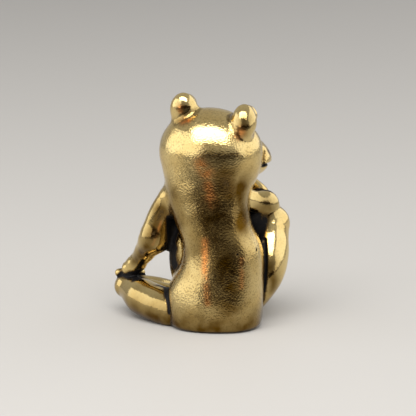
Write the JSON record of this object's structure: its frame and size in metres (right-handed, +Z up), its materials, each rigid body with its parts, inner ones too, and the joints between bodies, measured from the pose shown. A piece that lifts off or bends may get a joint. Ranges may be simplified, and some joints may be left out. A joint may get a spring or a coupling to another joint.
{
  "type": "frog figurine",
  "caption": "Small solid brass frog ornament that sits upright with one knee raised, its chin on one hand and the other hand on its folded knee.",
  "frame": {"origin": "middle of the flat seat under the torso, on the surface that the frog sits on", "axes": "+Z up, -Y the way the frog faces, +X towards the frog's left hand"},
  "size_m": [0.0285, 0.0237, 0.0366],
  "materials": {
    "brass": "polished cast brass, fine pitted grain, black patina left in the creases"
  },
  "bodies": {
    "root": {"torso": "brass", "head": "brass", "upper_jaw": "brass", "lower_jaw": "brass", "left_eye": "brass", "right_eye": "brass", "left_upper_arm": "brass", "left_forearm": "brass", "left_hand": "brass", "right_upper_arm": "brass", "right_forearm": "brass", "right_hand": "brass", "left_thigh": "brass", "left_shin": "brass", "left_foot": "brass", "right_thigh": "brass", "right_shin": "brass", "right_foot": "brass"}
  },
  "joints": []
}
